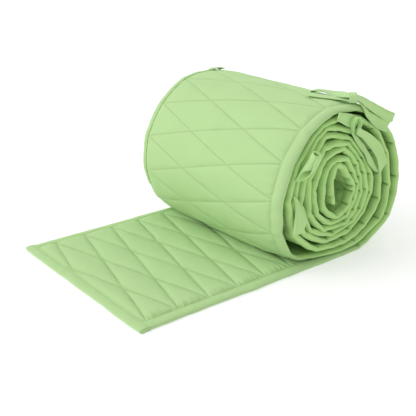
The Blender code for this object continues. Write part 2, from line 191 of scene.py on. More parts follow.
@dataclass(frozen=True)
class RollForm:
    """The middle surface that the strip follows, flat at first and then wound up.

    The turns, outermost first, and tuck_low are distances in mm from the roll's centre.
    Each bulge row is an angle, how far the outer turn stands out there, in mm, and the
    share that its far edge loses. The kinks are the angles where each turn breaks.
    """

    reach_x: float = 0.2302
    width: float = 0.300
    centre_x: float = 0.341
    centre_z: float = 0.105
    rest_half: float = 0.0028
    flap_angle: float = 316.0
    tuck_low: tuple[tuple[float, float], ...] = ((323.0, 118.0), (331.0, 110.2), (339.0, 103.2))
    tuck_setback: float = 0.012
    tuck_angle: float = 318.0
    tuck_spread: float = 32.0
    bulge_rows: tuple[tuple[float, float, float], ...] = (
        (100.0, 0.0, 1.0), (130.0, 3.2, 1.0), (162.0, 6.0, 1.0), (185.0, 7.4, 0.92),
        (205.0, 9.8, 0.5), (232.0, 14.2, 0.35), (255.0, 16.0, 0.35), (275.0, 16.0, 0.35),
        (297.0, 14.0, 0.35), (315.0, 9.5, 0.35), (323.0, 2.5, 0.35), (331.0, 0.0, 0.35),
    )
    bulge_start: float = 0.04
    bulge_quick: float = 0.85
    bulge_curl: float = 0.02
    facet_cap: float = 0.0012
    smooth_outer: tuple[float, float] = (132.0, 378.0)
    directions: dict[str, float] = field(default_factory=lambda: {
        "bottom": 0, "low_right": 30, "lower_right": 60, "right": 90, "top_right": 135,
        "top": 180, "crest": 205, "top_left": 235, "left": 270, "low_left": 315,
    })
    turns: tuple[tuple[float, ...], ...] = (
        (102.2, 116.0, 123.0, 115.0, 109.0, 109.0, 113.6, 113.8, 118.5, 119.5),
        (96.4, 102.2, 109.5, 96.0, 92.5, 99.5, 107.0, 105.3, 106.5, 99.5),
        (85.5, 86.0, 87.0, 76.5, 72.0, 82.0, 100.3, 97.0, 97.3, 87.5),
        (72.5, 66.8, 63.5, 58.5, 50.0, 71.0, 88.7, 87.0, 85.0, 78.5),
        (64.5, 59.0, 54.0, 46.0, 43.0, 63.0, 75.2, 75.0, 72.5, 68.5),
        (57.5, 48.5, 40.0, 35.3, 36.0, 54.5, 63.5, 63.5, 60.5, 57.5),
        (50.0, 39.0, 31.5, 28.0, 26.5, 41.5, 49.5, 48.8, 42.0, 46.5),
        (41.0, 28.5, 22.5, 20.0, 16.0, 23.5, 42.5, 31.5, 24.0, 29.8),
    )
    kinks: tuple[tuple[float, ...], ...] = (
        (21, 57, 86, 114, 140),
        (18, 50, 80, 112, 147, 180, 208, 240, 268, 300, 330),
        (5, 35, 66, 95, 130, 165, 205, 238, 270, 305, 338),
        (12, 42, 70, 100, 135, 175, 207, 240, 275, 310, 345),
        (20, 42, 75, 110, 140, 180, 215, 250, 290, 325),
        (5, 31, 70, 105, 140, 185, 222, 262, 300, 335),
        (10, 45, 88, 135, 180, 218, 255, 300, 340),
        (20, 60, 88, 135, 190, 235, 300),
    )

    def corner(self) -> Array:
        """Return the way from the strip's near corner at its free end to the origin."""
        return np.array([self.reach_x, self.width / 2, 0.0])

    def kink_angles(self) -> Array:
        """Return where the near edge breaks, in degrees from where the winding starts."""
        return np.array([360.0 * turn + a for turn, row in enumerate(self.kinks) for a in row])

    def radii(self, wanted: Array) -> Array:
        """Return the wound strip's distance from the roll's centre.

        Args:
            wanted: angles round the roll in degrees, counted from where it starts.

        Returns:
            The distances in metres.
        """
        angles = [
            360.0 * turn + offset
            for turn in range(len(self.turns)) for offset in self.directions.values()
        ]
        radii = [radius / MM for row in self.turns for radius in row]
        spot = len(self.directions)
        angles[spot:spot] = [direction for direction, _ in self.tuck_low]
        radii[spot:spot] = [radius / MM for _, radius in self.tuck_low]
        return self.smooth_read(np.array(angles), np.array(radii), wanted)

    @staticmethod
    def smooth_read(a: Array, r: Array, wanted: Array) -> Array:
        """Read a smooth curve through values r at angles a, flat where it starts."""
        slope = np.zeros_like(r)
        slope[1:-1] = (r[2:] - r[:-2]) / (a[2:] - a[:-2])
        slope[-1] = (r[-1] - r[-2]) / (a[-1] - a[-2])
        k = np.clip(np.searchsorted(a, wanted, side="left") - 1, 0, len(a) - 2)
        span = a[k + 1] - a[k]
        t = (wanted - a[k]) / span
        return (
            (2 * t**3 - 3 * t**2 + 1) * r[k]
            + (t**3 - 2 * t**2 + t) * span * slope[k]
            + (-2 * t**3 + 3 * t**2) * r[k + 1]
            + (t**3 - t**2) * span * slope[k + 1]
        )

    def bulge(self, angle: Array, across: Array) -> Array:
        """Return how far the outer turn stands out from its near edge's line."""
        rows = np.array(self.bulge_rows)
        start, end = rows[0, 0], rows[-1, 0]
        inside = np.clip(angle, start, end)
        most = self.smooth_read(rows[:, 0], rows[:, 1] / MM, inside)
        loss = self.smooth_read(rows[:, 0], rows[:, 2], inside)
        most = np.where((angle > start) & (angle < end), most, 0.0)
        share = self.bulge_quick * (1.0 - fade(across, self.bulge_start))
        share = share + (1.0 - self.bulge_quick) * across / self.width
        curl = np.maximum(across - self.width + self.bulge_curl, 0.0) / self.bulge_curl
        return most * (share - loss * curl * curl)

    def line(self) -> Array:
        """Return rows of distance, x, z and angle along the middle surface."""
        last = int(360.0 * (len(self.turns) - 1) + self.flap_angle)
        flat_x = np.arange(int(self.centre_x * MM)) / MM
        angle = np.arange(0.0, last + 0.25, 0.5)
        radius = self.radii(angle)
        turn = np.radians(angle)
        x = np.concatenate([flat_x, self.centre_x + radius * np.sin(turn)])
        z = self.centre_z - radius * np.cos(turn)
        z = np.concatenate([np.full_like(flat_x, self.rest_half), np.maximum(z, self.rest_half)])
        angle = np.concatenate([np.zeros_like(flat_x), angle])
        run = np.concatenate([[0.0], np.cumsum(np.hypot(np.diff(x), np.diff(z)))])
        return np.stack([run, x, z, angle], axis=1)


class Wrap:
    """Winds a flat pattern onto the roll's form."""

    def __init__(self, form: RollForm, quilting: Quilting) -> None:
        """Work out the form's line once, for every piece."""
        self.form = form
        self.quilting = quilting
        self.rows = form.line()
        self.length = float(self.rows[-1, 0])
        self.kinks = np.interp(form.kink_angles(), self.rows[:, 3], self.rows[:, 0])
        self.room = self.free_room()

    def free_room(self) -> dict[bool, Array]:
        """Return half the gap to the next turn, inside (True) and outside (False)."""
        angle = self.rows[:, 3]
        here = self.form.radii(angle)
        next_in = self.form.radii(np.minimum(angle + 360.0, angle[-1]))
        next_out = self.form.radii(np.maximum(angle - 360.0, 0.0))
        inside = np.where(angle + 360.0 > angle[-1], OPEN_ROOM, (here - next_in) / 2)
        outside = np.where(angle < 360.0, OPEN_ROOM, (next_out - here) / 2)
        rooms = {True: inside, False: outside}
        return {side: np.clip(room, 0.0, OPEN_ROOM) for side, room in rooms.items()}

    def half_room(self, s: Array, inside: bool) -> Array:
        """Return half the gap to the next turn on one side, at places along the strip."""
        return np.interp(s, self.rows[:, 0], self.room[inside])

    def filled(self, s: Array, inside: bool, most: float) -> Array:
        """Return the thickness, up to most, of cloth that fills the room on one side."""
        return np.clip(self.half_room(s, inside) - CLEAR, THINNEST, most)

    def kinks_beside(self, s: Array) -> Pair:
        """Return the breaks of the cloth before and after each place."""
        k = np.clip(np.searchsorted(self.kinks, s) - 1, 0, len(self.kinks) - 2)
        return self.kinks[k], self.kinks[k + 1]

    def chord(
        self, s: Array, low: Array, high: Array, share: Array
    ) -> tuple[Array, Array, Array]:
        """Return the way in x, in z and in all from the strip to the line from low to high."""
        pull_x, pull_z = (
            (1 - share) * self.read(low, column) + share * self.read(high, column)
            - self.read(s, column)
            for column in (1, 2)
        )
        return pull_x, pull_z, np.maximum(np.hypot(pull_x, pull_z), TINY)

    def kink_pull(self, s: Array, v: Array) -> Pair:
        """Return how far x and z move where the cloth breaks instead of bending."""
        low, high = self.kinks_beside(s)
        share = np.clip((s - low) / (high - low), 0.0, 1.0)
        pull_x, pull_z, size = self.chord(s, low, high, share)
        room = np.minimum(self.half_room(s, True), self.half_room(s, False))
        cap = 0.75 * np.minimum(room, KINK_CAP)
        soft = cap * (1.0 - np.exp(-size / np.maximum(cap, 1e-6))) / size
        inner = (s > self.kinks[0]) & (s < self.kinks[-1])
        start, end = self.form.smooth_outer
        even = between(self.angle(s), (start, start + KINK_BLEND), (end - KINK_BLEND, end))
        keep = inner * (1.0 - even) * soft * (0.35 + 0.6 * fade(v, KINK_REACH))
        return pull_x * keep, pull_z * keep

    def crease(self, s: Array, wide: float) -> Array:
        """Return 1 at a break of the wound cloth and 0 away from it, past the width wide."""
        low, high = self.kinks_beside(s)
        return bell(np.minimum(np.abs(s - low), np.abs(s - high)), wide)

    def read(self, s: Array, column: int) -> Array:
        """Return x, z or the angle at distances along the strip, straight on at its ends."""
        run = self.rows[:, 0]
        values = np.interp(s, run, self.rows[:, column])
        if column in (1, 2):
            for end, before in ((0, 3), (-1, -8)):
                past = s < 0.0 if end == 0 else s > run[-1]
                span = run[end] - run[before]
                slope = (self.rows[end, column] - self.rows[before, column]) / span
                values = np.where(past, self.rows[end, column] + slope * (s - run[end]), values)
        return values

    def angle(self, s: Array) -> Array:
        """Return the angle round the roll at distances along the strip, in degrees."""
        return self.read(s, 3)

    def middle(self, s: Array, v: Array) -> Pair:
        """Return x and z of the middle surface, broken at the stitching lines."""
        one, two = self.quilting.shares(s, v)
        below = np.minimum(one, two) * self.quilting.pitch
        above = np.minimum(1.0 - one, 1.0 - two) * self.quilting.pitch
        share = below / np.maximum(below + above, 1e-6)
        pull_x, pull_z, size = self.chord(s, s - below, s + above, share)
        strength = 0.45 + 0.30 * fade(np.minimum(v, self.form.width - v), FACET_REACH)
        angle = self.angle(s)
        keep = ease(angle, 12.0, 30.0) * np.minimum(strength, self.form.facet_cap / size)
        kink_x, kink_z = self.kink_pull(s, v)
        out = self.form.bulge(angle, v)
        turn = np.radians(angle)
        return (
            self.read(s, 1) + pull_x * keep + kink_x + out * np.sin(turn),
            self.read(s, 2) + pull_z * keep + kink_z - out * np.cos(turn),
        )

    def place(self, pattern: Array) -> Array:
        """Wind points of the flat pattern.

        Args:
            pattern: rows of distance along the strip, place across it, and height.

        Returns:
            Rows of x, y and z in the model's frame.
        """
        s, v, h = pattern.T
        form = self.form
        ax, az = self.middle(s - SLOPE_STEP, v)
        bx, bz = self.middle(s + SLOPE_STEP, v)
        x, z = self.middle(s, v)
        along = np.maximum(np.hypot(bx - ax, bz - az), TINY)
        x = x - h * (bz - az) / along
        z = z + h * (bx - ax) / along
        back = form.tuck_setback * bell(self.angle(s) - form.tuck_angle, form.tuck_spread)
        y = v - form.width / 2 + back * (1 - 0.8 * v / form.width)
        y = y + SWAY * fade(v, 0.04) * soft_noise(s / 0.045, 5) * ease(s, 0.0, 0.02)
        return np.stack([x - form.reach_x, y, z], axis=1)


class Nodes:
    """Adds nodes to a material and feeds them with values or other nodes' outputs."""

    def __init__(self, material: Material) -> None:
        """Start with the material's own shader."""
        material.use_nodes = True
        self.tree = material.node_tree
        self.shader = self.tree.nodes["Principled BSDF"]

    def feed(self, node: Node, inputs: dict) -> Node:
        """Set or link a node's inputs, by name or number, and return the node."""
        for key, value in inputs.items():
            if isinstance(value, NodeSocket):
                self.tree.links.new(value, node.inputs[key])
            else:
                node.inputs[key].default_value = value
        return node

    def add(self, kind: str, inputs: dict) -> Node:
        """Add a node of a kind, with its inputs."""
        return self.feed(self.tree.nodes.new(f"ShaderNode{kind}"), inputs)

    def maths(self, operation: str, first: Value, second: Value = 0.0) -> NodeSocket:
        """Return the result of one step of arithmetic."""
        node = self.add("Math", {})
        node.operation = operation
        return self.feed(node, {0: first, 1: second}).outputs[0]

    def mix(self, share: Value, first: Value, second: Value) -> NodeSocket:
        """Return a colour between two others."""
        node = self.add("Mix", {})
        node.data_type = "RGBA"
        return self.feed(node, {"Factor": share, "A": first, "B": second}).outputs["Result"]


@dataclass(frozen=True)
class Cotton:
    """Matte cotton in a plain weave, with a colour of its own and painted shade: darker and
    greener in the roll's inner turns, darker in creases and along the stitching lines.
    """

    name: str
    colour: Colour
    thread: float = 0.00055
    weave_depth: float = 0.00006
    fuzz: float = 0.25
    stitched: bool = False
    seam: float = 0.0
    # Tints for painted shade: the first for the roll's inner turns, the second for creases (also
    # used for the binding's stitches).
    roll_shade_tint: Colour = (1.01, 1.09, 0.84)
    shaded: Colour = (0.60, 0.72, 0.44)

    def tinted(self, *change: float) -> tuple[float, ...]:
        """Return the cloth's colour, all of it or each of its parts multiplied."""
        parts = change * 3 if len(change) == 1 else change
        return (*[c * part for c, part in zip(self.colour, parts)], 1.0)

    def material(self, quilting: Quilting) -> Material:
        """Build the finish.

        Args:
            quilting: the stitching lines that a quilted cloth is marked with.

        Returns:
            The material, which reads the piece's own pattern coordinates.
        """
        made = bpy.data.materials.new(self.name)
        nodes = Nodes(made)
        pattern = nodes.add("UVMap", {})
        pattern.uv_map = "pattern"
        uv = pattern.outputs["UV"]
        colour = self.tone_and_painted_shade(nodes, uv)
        if self.stitched:
            colour = self.with_lines(nodes, uv, colour, quilting)
        if self.seam:
            colour = self.with_seam(nodes, uv, colour)
        threads = []
        look = {"Scale": 0.314 / self.thread, "Distortion": 0.6, "Detail": 1.0, "Vector": uv}
        for direction in ("X", "Y"):
            wave = nodes.add("TexWave", look)
            wave.bands_direction = direction
            threads.append(wave.outputs["Fac"])
        weave = nodes.maths("MULTIPLY", nodes.maths("ADD", *threads), 0.5)
        bump = nodes.add("Bump", {"Strength": 0.5, "Distance": self.weave_depth, "Height": weave})
        nodes.feed(nodes.shader, {
            "Roughness": 0.92, "Specular IOR Level": 0.18, "Sheen Weight": self.fuzz,
            "Sheen Roughness": 0.6, "Sheen Tint": (0.80, 1.0, 0.62, 1.0),
            "Base Color": colour, "Normal": bump.outputs["Normal"],
        })
        return made

    def tone_and_painted_shade(self, nodes: Nodes, uv: NodeSocket) -> NodeSocket:
        """Return the uneven colour, with painted shade: darker and greener inside the roll and
        darker in creases.
        """
        shade = nodes.maths("ADD", *[
            nodes.maths("MULTIPLY", nodes.add(
                "TexNoise", {"Scale": scale, "Detail": detail, "Vector": uv}
            ).outputs["Fac"], part)
            for scale, detail, part in ((30.0, 5.0, 0.6), (900.0, 3.0, 0.4))
        ])
        colour = nodes.mix(shade, self.tinted(0.93), self.tinted(1.05))
        # Painted shade, mixed in by the pieces' point attributes: 'inside' for the roll's inner
        # turns, 'crease' for creases and seams.
        for layer, change in (("inside", self.roll_shade_tint), ("crease", self.shaded)):
            reach = nodes.add("Attribute", {})
            reach.attribute_name = layer
            colour = nodes.mix(reach.outputs["Fac"], colour, self.tinted(*change))
        return colour

    def with_lines(
        self, nodes: Nodes, uv: NodeSocket, colour: NodeSocket, quilting: Quilting
    ) -> NodeSocket:
        """Return the colour with painted shade along the stitching lines' grooves."""
        place = nodes.add("SeparateXYZ", {"Vector": uv})
        up = nodes.maths("SUBTRACT", place.outputs["Y"], quilting.near_row)
        lean = nodes.maths("MULTIPLY", up, quilting.pitch / (2.0 * quilting.row))
        run = nodes.maths("SUBTRACT", place.outputs["X"], quilting.first)
        nearest = nodes.maths("MINIMUM", *[
            nodes.maths("PINGPONG", nodes.maths(family, run, lean), quilting.pitch / 2.0)
            for family in ("SUBTRACT", "ADD")
        ])
        soft = nodes.add("MapRange", {"From Min": 0.0001, "From Max": 0.0016, "Value": nearest})
        soft.interpolation_type = "SMOOTHSTEP"
        # Painted shade: a darker tint in the grooves of the stitching lines.
        return nodes.mix(soft.outputs["Result"], self.tinted(0.84), colour)

    def with_seam(self, nodes: Nodes, uv: NodeSocket, colour: NodeSocket) -> NodeSocket:
        """Return the colour with a row of short darker stitches along a binding."""
        place = nodes.add("SeparateXYZ", {"Vector": uv})
        off = nodes.maths("SUBTRACT", place.outputs["Y"], self.seam)
        line = nodes.maths("LESS_THAN", nodes.maths("ABSOLUTE", off), 0.00045)
        beat = nodes.maths("PINGPONG", place.outputs["X"], 0.0013)
        beat = nodes.maths("GREATER_THAN", beat, 0.0005)
        dots = nodes.maths("MULTIPLY", nodes.maths("MULTIPLY", line, beat), 0.65)
        return nodes.mix(dots, colour, self.tinted(*self.shaded))


def add_object(name: str, data: ID) -> Object:
    """Put a new object in the scene."""
    made = bpy.data.objects.new(name, data)
    bpy.context.scene.collection.objects.link(made)
    return made


def finish_piece(
    name: str, form: BMesh, place: Placer, material: Material,
    close: bool = False, tones: Toner | None = None,
) -> Object:
    """Turn a flat pattern into a finished piece.

    Args:
        name: the piece's name.
        form: the flat pattern, with distance along it, place across it and height.
        place: the function that gives each point of the pattern its place.
        material: the piece's finish.
        close: whether edges that meet once placed are sewn together and open ends filled.
        tones: the function that gives how much painted shade each point gets, inside the roll and
            in its creases, and where its seams are darker.

    Returns:
        The new object, which rides on the whole model.
    """
    name = f"{name}_cloth"
    mesh = bpy.data.meshes.new(name)
    form.to_mesh(mesh)
    form.free()
    flat = np.zeros(len(mesh.vertices) * 3)
    mesh.vertices.foreach_get("co", flat)
    flat = flat.reshape(-1, 3)
    corner = np.zeros(len(mesh.loops), dtype=np.int32)
    mesh.loops.foreach_get("vertex_index", corner)
    for old in list(mesh.uv_layers):
        mesh.uv_layers.remove(old)
    layer = mesh.uv_layers.new(name="pattern")
    layer.data.foreach_set("uv", flat[corner][:, :2].ravel())
    mesh.vertices.foreach_set("co", place(flat).ravel())
    # Painted shade amounts are stored as point attributes; a piece without them gets none.
    for layer, values in (tones(flat) if tones else {"inside": np.zeros(len(flat))}).items():
        mesh.attributes.new(layer, "FLOAT", "POINT").data.foreach_set("value", values)
    sewn = bmesh.new()
    sewn.from_mesh(mesh)
    if close:
        bmesh.ops.remove_doubles(sewn, verts=sewn.verts, dist=0.00001)
        ends = [e for e in sewn.edges if e.is_boundary]
        if ends:
            bmesh.ops.holes_fill(sewn, edges=ends, sides=0)
    bmesh.ops.recalc_face_normals(sewn, faces=sewn.faces)
    sewn.to_mesh(mesh)
    sewn.free()
    mesh.materials.append(material)
    mesh.shade_smooth()
    piece = add_object(name, mesh)
    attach(piece, "root")
    log.info("%s: %d faces", name, len(mesh.polygons))
    return piece


def flat_grid(columns: int, rows: int) -> BMesh:
    """Return a flat sheet whose points have their column and row as x and y."""
    form = bmesh.new()
    bmesh.ops.create_grid(form, x_segments=columns, y_segments=rows, size=0.5)
    bmesh.ops.translate(form, verts=form.verts, vec=(0.5, 0.5, 0.0))
    bmesh.ops.scale(form, verts=form.verts, vec=(columns, rows, 1.0))
    return form


def two_faced(form: BMesh) -> None:
    """Give a flat sheet a second face, with heights of 1 and -1, and a closed rim."""
    bmesh.ops.solidify(form, geom=form.faces[:], thickness=2.0)
    middle = sum(vert.co.z for vert in form.verts) / len(form.verts)
    for vert in form.verts:
        vert.co.z = 1.0 if vert.co.z > middle else -1.0


@dataclass
class QuiltedPanel:
    """The padded panel: two faces, raised between the stitching lines."""

    wrap: Wrap
    finish: Cotton
    band: float = 0.0143
    thin: float = 0.0014
    thin_smooth: float = 0.0023
    crown_flat: float = 0.0068
    crown_wound: float = 0.0024
    crown_full: float = 0.0047
    crown_outer: float = 0.0046
    press: Span = (0.250, 0.283)
    outer_rise: Span = (30.0, 60.0)
    outer_fall: Span = (305.0, 335.0)
    run_in: float = 0.004
    run_in_smooth: float = 0.008
    smooth_seam: Span = (60.0, 330.0)
    gather: float = 0.0016
    gather_wave: float = 0.0036
    gather_seed: int = 3
    gather_rows: tuple[float, ...] = (0.0148, 0.0168, 0.0190, 0.0242)
    pucker: float = 0.00022
    swell: float = 0.00035
    sag: float = 0.0011
    sag_rise: Span = (272.0, 300.0)
    sag_fall: Span = (326.0, 336.0)
    dent: float = 0.45
    fine: int = 32
    coarse: int = 16
    outer_turn_end: float = 375.0

    def crown(self, s: Array, angle: Array, outside: Array) -> Array:
        """Return a diamond's half thickness for each place and side."""
        wound = self.crown_wound
        on_flat = self.crown_flat + ease(s, *self.press) * (wound - self.crown_flat)
        rise = between(angle, self.outer_rise, self.outer_fall)
        on_outside = wound + rise * (self.crown_outer - wound)
        room_out = self.wrap.filled(s, False, self.crown_full)
        on_outside = np.where(angle < 360.0, on_outside, room_out)
        room_in = self.wrap.filled(s, True, self.crown_full)
        inside = wound + ease(angle, 20.0, 40.0) * (room_in - wound)
        inside = np.where(angle < 1.0, on_flat, inside)
        return np.where(outside, on_outside, inside)

    def gathers(self, s: Array, v: Array, inward: Array) -> Array:
        """Return how high the cloth stands in the small gathers beside the bindings."""
        reach = (1.0 - fade(inward, 0.0012)) * bell(inward, 0.0085)
        ripple = soft_noise(s / self.gather_wave, self.gather_seed)
        ripple = np.sign(ripple) * np.abs(ripple) ** 0.7 * (0.65 + 0.35 * soft_noise(s / 0.04, 4))
        gathered = np.where(v < self.wrap.form.width / 2, 1.0, 0.45)
        return self.gather * gathered * reach * ripple

    def raised(self, pattern: Array) -> Array:
        """Give the flat pattern its thickness, quilting and puckers, and wind it."""
        s, v, side = pattern.T
        quilting = self.wrap.quilting
        form = self.wrap.form
        angle = self.wrap.angle(s)
        outside = side < 0.0
        inward = np.maximum(np.minimum(v, form.width - v) - self.band, 0.0)
        end_gap = np.maximum(np.minimum(s, self.wrap.length - s) - self.band, 0.0)
        start, end = self.smooth_seam
        smooth_far = outside & (v > form.width / 2) & (angle > start) & (angle < end)
        run_in = np.where(smooth_far, self.run_in_smooth, self.run_in)
        full = quilting.fullness(s, v) * (1.0 - fade(inward, run_in))
        full = full * (1.0 - fade(end_gap, self.run_in))
        thin = np.where(smooth_far, self.thin_smooth, self.thin)
        high = thin + full * (self.crown(s, angle, outside) - thin)
        high = high + self.gathers(s, v, inward)
        along = soft_noise_2d(v / 0.0060, np.floor(s / quilting.pitch * 2.0) + 0.5, 9)
        high = high + self.pucker * fade(quilting.nearest(s, v), 0.004) * full * along
        high = high + self.swell * full * soft_noise_2d(s / 0.016, v / 0.028, 7)
        low_down = between(angle, self.sag_rise, self.sag_fall) * outside
        folds = soft_noise_2d(v / 0.0085 + s * 9.0, s / 0.030, 23)
        high = high + self.sag * low_down * full * np.sign(folds) * np.abs(folds) ** 1.5
        dent = self.wrap.crease(s, 0.0026) * fade(v, KINK_REACH) * ease(angle, 10.0, 20.0)
        high = high * np.where(outside, 1.0, 1.0 - self.dent * dent)
        high = np.where(outside & (angle < 12.0), form.rest_half, high)
        return self.wrap.place(np.stack([s, v, np.where(outside, -high, high)], axis=1))

    def tones(self, pattern: Array) -> Tones:
        """Return how much painted shade each place gets: darker and greener from the outer turn's
        underside on and on the inner face of the wound cloth, darker in the creases, at the
        pinched crossings of the stitching and in the folds of the gathers.
        """
        s, v, side = pattern.T
        quilting = self.wrap.quilting
        angle = self.wrap.angle(s)
        # Painted shade: the darker, greener tint from the outer turn's underside on into the
        # inner turns, and on the inner face of the wound cloth.
        roll_shade = ease(angle, 300.0, 345.0)
        roll_shade = np.where(side > 0.0, np.maximum(roll_shade, ease(angle, 5.0, 30.0)), roll_shade)
        # Painted shade in the creases where the wound cloth breaks, on its inner face by the near
        # edge.
        wound = ease(angle, 10.0, 20.0) * (side > 0.0) * fade(v, KINK_REACH)
        crease_shade = 0.8 * self.wrap.crease(s, 0.0022) * wound
        # Painted shade in the pinched dimples where the stitching lines cross, patchy, on the
        # inner rows, fading as the strip winds up.
        one, two = (to_end(share) for share in quilting.shares(s, v))
        crossing = bell(np.maximum(one, two) * quilting.pitch, 0.0055)
        crossing = crossing * np.exp(-np.minimum(one, two) * 14.0)
        inner_rows = between(v, (0.05, 0.08), (0.22, 0.25))
        patchy = 0.55 + 0.45 * soft_noise_2d(s / 0.02, v / 0.02, 17)
        crossing_shade = 0.55 * crossing * inner_rows * patchy * (1.0 - ease(angle, 150.0, 200.0))
        # Painted shade in the folds of the small gathers beside the bindings, on the flat run.
        valley = np.clip(-soft_noise(s / self.gather_wave, self.gather_seed), 0.0, 1.0)
        beside = bell(np.maximum(v - self.band, 0.0), 0.007)
        gather_shade = 0.6 * valley * beside * (1.0 - ease(angle, 1.0, 9.0))
        return {"inside": roll_shade, "crease": np.clip(crease_shade + crossing_shade + gather_shade, 0.0, 0.8)}

    def pattern(self, first: float, last: float, parts: int) -> BMesh:
        """Return a length of the panel as a flat double sheet, lined up with the stitching.

        Args:
            first: where it starts along the strip.
            last: where it ends.
            parts: columns in one pitch of the stitching.

        Returns:
            The pattern, with heights of -1 and 1 for its two faces.
        """
        quilting = self.wrap.quilting
        step = quilting.pitch / parts
        rows = 3 * parts // 2
        start = math.floor((first - quilting.first) / step)
        count = math.ceil((last - quilting.first) / step) - start
        form = flat_grid(count, rows)
        on_line = []
        for vert in form.verts:
            i = round(vert.co.x) + start
            j = round(vert.co.y)
            if (i - j) % parts == 0 or (i + j) % parts == 0:
                on_line.append(vert)
            s = min(max(quilting.first + i * step, first), last)
            v = quilting.near_row + j * quilting.row * 2.0 / parts
            if j == 0:
                v = self.band
            if j == rows:
                v = self.wrap.form.width - self.band
            vert.co = (s, v, 0.0)
        bmesh.ops.connect_verts(form, verts=on_line)
        for inset in self.gather_rows:
            for v in (inset, self.wrap.form.width - inset):
                bmesh.ops.bisect_plane(
                    form, geom=form.verts[:] + form.edges[:] + form.faces[:], dist=1e-6,
                    plane_co=(0.0, v, 0.0), plane_no=(0.0, 1.0, 0.0),
                )
        two_faced(form)
        return form

    def build(self) -> list[Object]:
        """Make the run that shows and the turns inside it, and dress both."""
        material = self.finish.material(self.wrap.quilting)
        rows = self.wrap.rows
        join = float(np.interp(self.outer_turn_end, rows[:, 3], rows[:, 0]))
        step = self.wrap.quilting.pitch / self.coarse
        join = self.wrap.quilting.first + step * round((join - self.wrap.quilting.first) / step)
        end = self.wrap.length - self.band
        made = []
        for name, first, last, parts in (
            ("quilted_run_and_outer_turn", self.band, join, self.fine),
            ("quilted_inner_turns", join, end, self.coarse),
        ):
            form = self.pattern(first, last, parts)
            piece = finish_piece(name, form, self.raised, material, tones=self.tones)
            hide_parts("quilted_panel")
            made.append(piece)
        return made


@dataclass(frozen=True)
class BandFold:
    """The cross section of a folded band: its top half, from the seam to the edge.

    Each row is the distance in from the edge and the height above the middle.
    """

    top: tuple[tuple[float, float], ...] = (
        (0.0140, 0.00150), (0.0149, 0.00152), (0.0151, 0.00185), (0.0146, 0.00212),
        (0.0138, 0.00214), (0.0132, 0.00190), (0.0126, 0.00212), (0.0112, 0.00250),
        (0.0088, 0.00268), (0.0060, 0.00262), (0.0034, 0.00226), (0.0014, 0.00162),
        (0.0003, 0.00080),
    )

    def ring(self) -> Array:
        """Return rows of girth, distance in and height, once round the band."""
        top = np.array(self.top)
        under = top[::-1] * np.array([1.0, -1.0])
        ring = np.concatenate([top, under, top[:1]])
        girth = np.concatenate([[0.0], np.cumsum(np.hypot(*np.diff(ring, axis=0).T))])
        return np.column_stack([girth, ring])

    def read(self, girth: Array) -> Pair:
        """Return the distance in and the height at places round the band."""
        at, *columns = self.ring().T
        return tuple(np.interp(girth, at, column) for column in columns)


def band_pattern(ring: Array, first: float, last: float, step: float) -> BMesh:
    """Return a band's flat pattern.

    Args:
        ring: rows of girth, distance in and height.
        first: where the band starts.
        last: where it ends.
        step: the length of its faces.

    Returns:
        The pattern, with distance along the band and girth as x and y.
    """
    columns = max(int((last - first) / step), 2)
    form = flat_grid(columns, len(ring) - 1)
    for vert in form.verts:
        vert.co.x = first + vert.co.x * (last - first) / columns
        vert.co.y = ring[round(vert.co.y), 0]
    return form


@dataclass
class Binding(ABC):
    """A band folded over one edge of the strip and stitched down on its inner side."""

    wrap: Wrap
    finish: Cotton
    node: str
    fold: BandFold = BandFold()
    step: float = 0.0018

    @abstractmethod
    def span(self) -> Span:
        """Return where the band starts and how long it is."""

    @abstractmethod
    def wound(self, pattern: Array) -> Array:
        """Fold the flat pattern over the edge and lay it in place."""

    def settled(self, height: Array) -> Array:
        """Return the lower side's height where the band lies on the ground."""
        return self.wrap.form.rest_half * np.clip(height / 0.0016, -1.0, 0.0)

    def build(self) -> Object:
        """Make the band and dress it."""
        first, length = self.span()
        ring = self.fold.ring()
        form = band_pattern(ring, first, first + length, self.step)
        material = self.finish.material(self.wrap.quilting)
        piece = finish_piece(self.node, form, self.wound, material, True, self.tones)
        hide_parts(self.node)
        return piece


